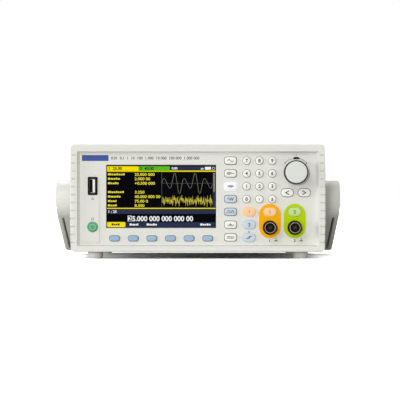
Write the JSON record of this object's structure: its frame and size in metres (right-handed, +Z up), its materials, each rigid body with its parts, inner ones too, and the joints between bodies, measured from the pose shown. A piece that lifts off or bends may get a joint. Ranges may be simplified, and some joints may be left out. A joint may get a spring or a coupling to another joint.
{
  "type": "function generator",
  "caption": "Half-rack bench function generator with a colour display, keypad, control knob, two output jacks and a swinging carry handle.",
  "frame": {"origin": "centre of the footprint box, on the surface that the feet stand on", "axes": "front faces -Y, +X to the right of a person in front, +Z up"},
  "size_m": [0.2474, 0.295, 0.097],
  "materials": {
    "casing": "fine-textured moulded plastic, light warm grey",
    "panel": "fine-textured moulded plastic, light warm grey",
    "cover_paint": "textured powder coat, light warm grey",
    "handle": "fine-textured moulded plastic, light grey",
    "feet": "moulded plastic, light grey",
    "tray_metal": "plated sheet",
    "window": "clear window over a dark screen",
    "module": "dark plastic housing",
    "pale_keys": "satin off-white key plastic",
    "lit_key": "satin white key, lit",
    "ice_keys": "satin pale blue key plastic",
    "blue_keys": "satin blue key plastic",
    "orange_key": "satin orange key, lit",
    "peach_key": "satin light orange key plastic",
    "lime_key": "satin light green key plastic",
    "power_green": "satin green key plastic",
    "orange_plate": "printed orange surround",
    "green_plate": "printed green surround",
    "knob": "satin off-white knob plastic",
    "black_plastic": "black moulded plastic",
    "socket_metal": "nickel plate",
    "steel": "plated steel",
    "board_green": "circuit board with solder mask"
  },
  "bodies": {
    "case": {"front_bezel": "casing", "front_panel": "panel", "display_window": "window", "display_module": "module", "usb_socket": "socket_metal", "front_board": "board_green", "output_1_surround": "orange_plate", "output_2_surround": "green_plate", "bnc_sockets": "socket_metal", "socket_bushes": "black_plastic", "encoder_body": "module", "case_cover": "cover_paint", "chassis": "tray_metal", "rear_panel": "cover_paint", "rear_bumper": "casing", "feet": "feet", "handle_pivots": "black_plastic", "pivot_screws": "steel", "case_screws": "steel", "main_board": "board_green", "power_supply": "board_green", "mains_inlet": "black_plastic", "interface_ports": "socket_metal"},
    "handle": {"carry_handle": "handle"},
    "knob_plunger": {"encoder_plunger": "knob"},
    "knob": {"control_knob": "knob", "encoder_shaft": "steel"},
    "soft_key_1": {"soft_key_1": "blue_keys"},
    "soft_key_2": {"soft_key_2": "blue_keys"},
    "soft_key_3": {"soft_key_3": "blue_keys"},
    "soft_key_4": {"soft_key_4": "blue_keys"},
    "soft_key_5": {"soft_key_5": "blue_keys"},
    "soft_key_6": {"soft_key_6": "blue_keys"},
    "function_key_1": {"function_key_1": "pale_keys"},
    "function_key_2": {"function_key_2": "pale_keys"},
    "function_key_3": {"function_key_3": "lit_key"},
    "function_key_4": {"function_key_4": "ice_keys"},
    "function_key_5": {"function_key_5": "ice_keys"},
    "function_key_6": {"function_key_6": "pale_keys"},
    "function_key_7": {"function_key_7": "pale_keys"},
    "key_7": {"key_7": "pale_keys"},
    "key_8": {"key_8": "pale_keys"},
    "key_9": {"key_9": "pale_keys"},
    "key_4": {"key_4": "pale_keys"},
    "key_5": {"key_5": "pale_keys"},
    "key_6": {"key_6": "pale_keys"},
    "key_1": {"key_1": "pale_keys"},
    "key_2": {"key_2": "pale_keys"},
    "key_3": {"key_3": "pale_keys"},
    "key_0": {"key_0": "pale_keys"},
    "key_point": {"key_point": "pale_keys"},
    "key_sign": {"key_sign": "pale_keys"},
    "channel_1_key": {"channel_1_key": "orange_key"},
    "channel_2_key": {"channel_2_key": "ice_keys"},
    "trigger_key": {"trigger_key": "ice_keys"},
    "cursor_left_key": {"cursor_left_key": "pale_keys"},
    "cursor_right_key": {"cursor_right_key": "pale_keys"},
    "output_1_key": {"output_1_key": "peach_key"},
    "output_2_key": {"output_2_key": "lime_key"},
    "power_button": {"power_button": "power_green"}
  },
  "joints": [
    {"name": "knob_push", "type": "slide", "parent": "case", "child": "knob_plunger", "axis": [0, 1, 0], "range_m": [0, 0.0005], "stiffness_N_per_m": 800},
    {"name": "knob_turn", "type": "hinge", "parent": "knob_plunger", "child": "knob", "pos_m": [0.0829, -0.1305, 0.0734], "axis": [0, 1, 0], "continuous": true},
    {"name": "handle_swing", "type": "hinge", "parent": "case", "child": "handle", "pos_m": [0, -0.0505, 0.051], "axis": [-1, 0, 0], "range_deg": [0, 315]},
    {"name": "power_button_press", "type": "slide", "parent": "case", "child": "power_button", "axis": [0, 1, 0], "range_m": [0, 0.0008], "stiffness_N_per_m": 400},
    {"name": "soft_key_1_press", "type": "slide", "parent": "case", "child": "soft_key_1", "axis": [0, 1, 0], "range_m": [0, 0.0008], "stiffness_N_per_m": 400},
    {"name": "soft_key_2_press", "type": "slide", "parent": "case", "child": "soft_key_2", "axis": [0, 1, 0], "range_m": [0, 0.0008], "stiffness_N_per_m": 400},
    {"name": "soft_key_3_press", "type": "slide", "parent": "case", "child": "soft_key_3", "axis": [0, 1, 0], "range_m": [0, 0.0008], "stiffness_N_per_m": 400},
    {"name": "soft_key_4_press", "type": "slide", "parent": "case", "child": "soft_key_4", "axis": [0, 1, 0], "range_m": [0, 0.0008], "stiffness_N_per_m": 400},
    {"name": "soft_key_5_press", "type": "slide", "parent": "case", "child": "soft_key_5", "axis": [0, 1, 0], "range_m": [0, 0.0008], "stiffness_N_per_m": 400},
    {"name": "soft_key_6_press", "type": "slide", "parent": "case", "child": "soft_key_6", "axis": [0, 1, 0], "range_m": [0, 0.0008], "stiffness_N_per_m": 400},
    {"name": "function_key_1_press", "type": "slide", "parent": "case", "child": "function_key_1", "axis": [0, 1, 0], "range_m": [0, 0.0008], "stiffness_N_per_m": 400},
    {"name": "function_key_2_press", "type": "slide", "parent": "case", "child": "function_key_2", "axis": [0, 1, 0], "range_m": [0, 0.0008], "stiffness_N_per_m": 400},
    {"name": "function_key_3_press", "type": "slide", "parent": "case", "child": "function_key_3", "axis": [0, 1, 0], "range_m": [0, 0.0008], "stiffness_N_per_m": 400},
    {"name": "function_key_4_press", "type": "slide", "parent": "case", "child": "function_key_4", "axis": [0, 1, 0], "range_m": [0, 0.0008], "stiffness_N_per_m": 400},
    {"name": "function_key_5_press", "type": "slide", "parent": "case", "child": "function_key_5", "axis": [0, 1, 0], "range_m": [0, 0.0008], "stiffness_N_per_m": 400},
    {"name": "function_key_6_press", "type": "slide", "parent": "case", "child": "function_key_6", "axis": [0, 1, 0], "range_m": [0, 0.0008], "stiffness_N_per_m": 400},
    {"name": "function_key_7_press", "type": "slide", "parent": "case", "child": "function_key_7", "axis": [0, 1, 0], "range_m": [0, 0.0008], "stiffness_N_per_m": 400},
    {"name": "key_7_press", "type": "slide", "parent": "case", "child": "key_7", "axis": [0, 1, 0], "range_m": [0, 0.0008], "stiffness_N_per_m": 400},
    {"name": "key_8_press", "type": "slide", "parent": "case", "child": "key_8", "axis": [0, 1, 0], "range_m": [0, 0.0008], "stiffness_N_per_m": 400},
    {"name": "key_9_press", "type": "slide", "parent": "case", "child": "key_9", "axis": [0, 1, 0], "range_m": [0, 0.0008], "stiffness_N_per_m": 400},
    {"name": "key_4_press", "type": "slide", "parent": "case", "child": "key_4", "axis": [0, 1, 0], "range_m": [0, 0.0008], "stiffness_N_per_m": 400},
    {"name": "key_5_press", "type": "slide", "parent": "case", "child": "key_5", "axis": [0, 1, 0], "range_m": [0, 0.0008], "stiffness_N_per_m": 400},
    {"name": "key_6_press", "type": "slide", "parent": "case", "child": "key_6", "axis": [0, 1, 0], "range_m": [0, 0.0008], "stiffness_N_per_m": 400},
    {"name": "key_1_press", "type": "slide", "parent": "case", "child": "key_1", "axis": [0, 1, 0], "range_m": [0, 0.0008], "stiffness_N_per_m": 400},
    {"name": "key_2_press", "type": "slide", "parent": "case", "child": "key_2", "axis": [0, 1, 0], "range_m": [0, 0.0008], "stiffness_N_per_m": 400},
    {"name": "key_3_press", "type": "slide", "parent": "case", "child": "key_3", "axis": [0, 1, 0], "range_m": [0, 0.0008], "stiffness_N_per_m": 400},
    {"name": "key_0_press", "type": "slide", "parent": "case", "child": "key_0", "axis": [0, 1, 0], "range_m": [0, 0.0008], "stiffness_N_per_m": 400},
    {"name": "key_point_press", "type": "slide", "parent": "case", "child": "key_point", "axis": [0, 1, 0], "range_m": [0, 0.0008], "stiffness_N_per_m": 400},
    {"name": "key_sign_press", "type": "slide", "parent": "case", "child": "key_sign", "axis": [0, 1, 0], "range_m": [0, 0.0008], "stiffness_N_per_m": 400},
    {"name": "channel_1_key_press", "type": "slide", "parent": "case", "child": "channel_1_key", "axis": [0, 1, 0], "range_m": [0, 0.0008], "stiffness_N_per_m": 400},
    {"name": "channel_2_key_press", "type": "slide", "parent": "case", "child": "channel_2_key", "axis": [0, 1, 0], "range_m": [0, 0.0008], "stiffness_N_per_m": 400},
    {"name": "trigger_key_press", "type": "slide", "parent": "case", "child": "trigger_key", "axis": [0, 1, 0], "range_m": [0, 0.0008], "stiffness_N_per_m": 400},
    {"name": "cursor_left_key_press", "type": "slide", "parent": "case", "child": "cursor_left_key", "axis": [0, 1, 0], "range_m": [0, 0.0008], "stiffness_N_per_m": 400},
    {"name": "cursor_right_key_press", "type": "slide", "parent": "case", "child": "cursor_right_key", "axis": [0, 1, 0], "range_m": [0, 0.0008], "stiffness_N_per_m": 400},
    {"name": "output_1_key_press", "type": "slide", "parent": "case", "child": "output_1_key", "axis": [0, 1, 0], "range_m": [0, 0.0008], "stiffness_N_per_m": 400},
    {"name": "output_2_key_press", "type": "slide", "parent": "case", "child": "output_2_key", "axis": [0, 1, 0], "range_m": [0, 0.0008], "stiffness_N_per_m": 400}
  ]
}
